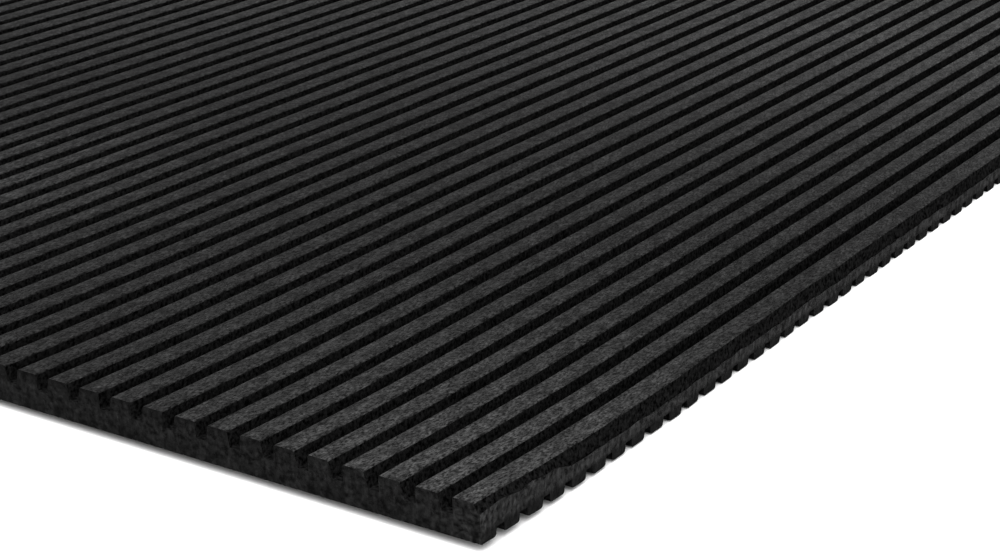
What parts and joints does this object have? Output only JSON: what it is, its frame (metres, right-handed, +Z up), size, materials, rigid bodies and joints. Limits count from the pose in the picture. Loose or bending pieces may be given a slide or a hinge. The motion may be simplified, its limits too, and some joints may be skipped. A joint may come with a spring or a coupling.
{
  "type": "anti-vibration mat",
  "caption": "Square black rubber anti-vibration mat with straight ribs on its top face and lower ribs square to them on its underside.",
  "frame": {"origin": "centre of the mat's footprint, in the plane of the floor that its lower ribs stand on", "axes": "+Z up, from the lower ribs to the top ribs; Y along the top ribs; X along the lower ribs, across the top ones"},
  "size_m": [0.6, 0.6, 0.01],
  "materials": {
    "rubber": "matte moulded black rubber with a fine grain, coarser and torn on the cut edges"
  },
  "bodies": {
    "root": {"mat": "rubber"}
  },
  "joints": []
}
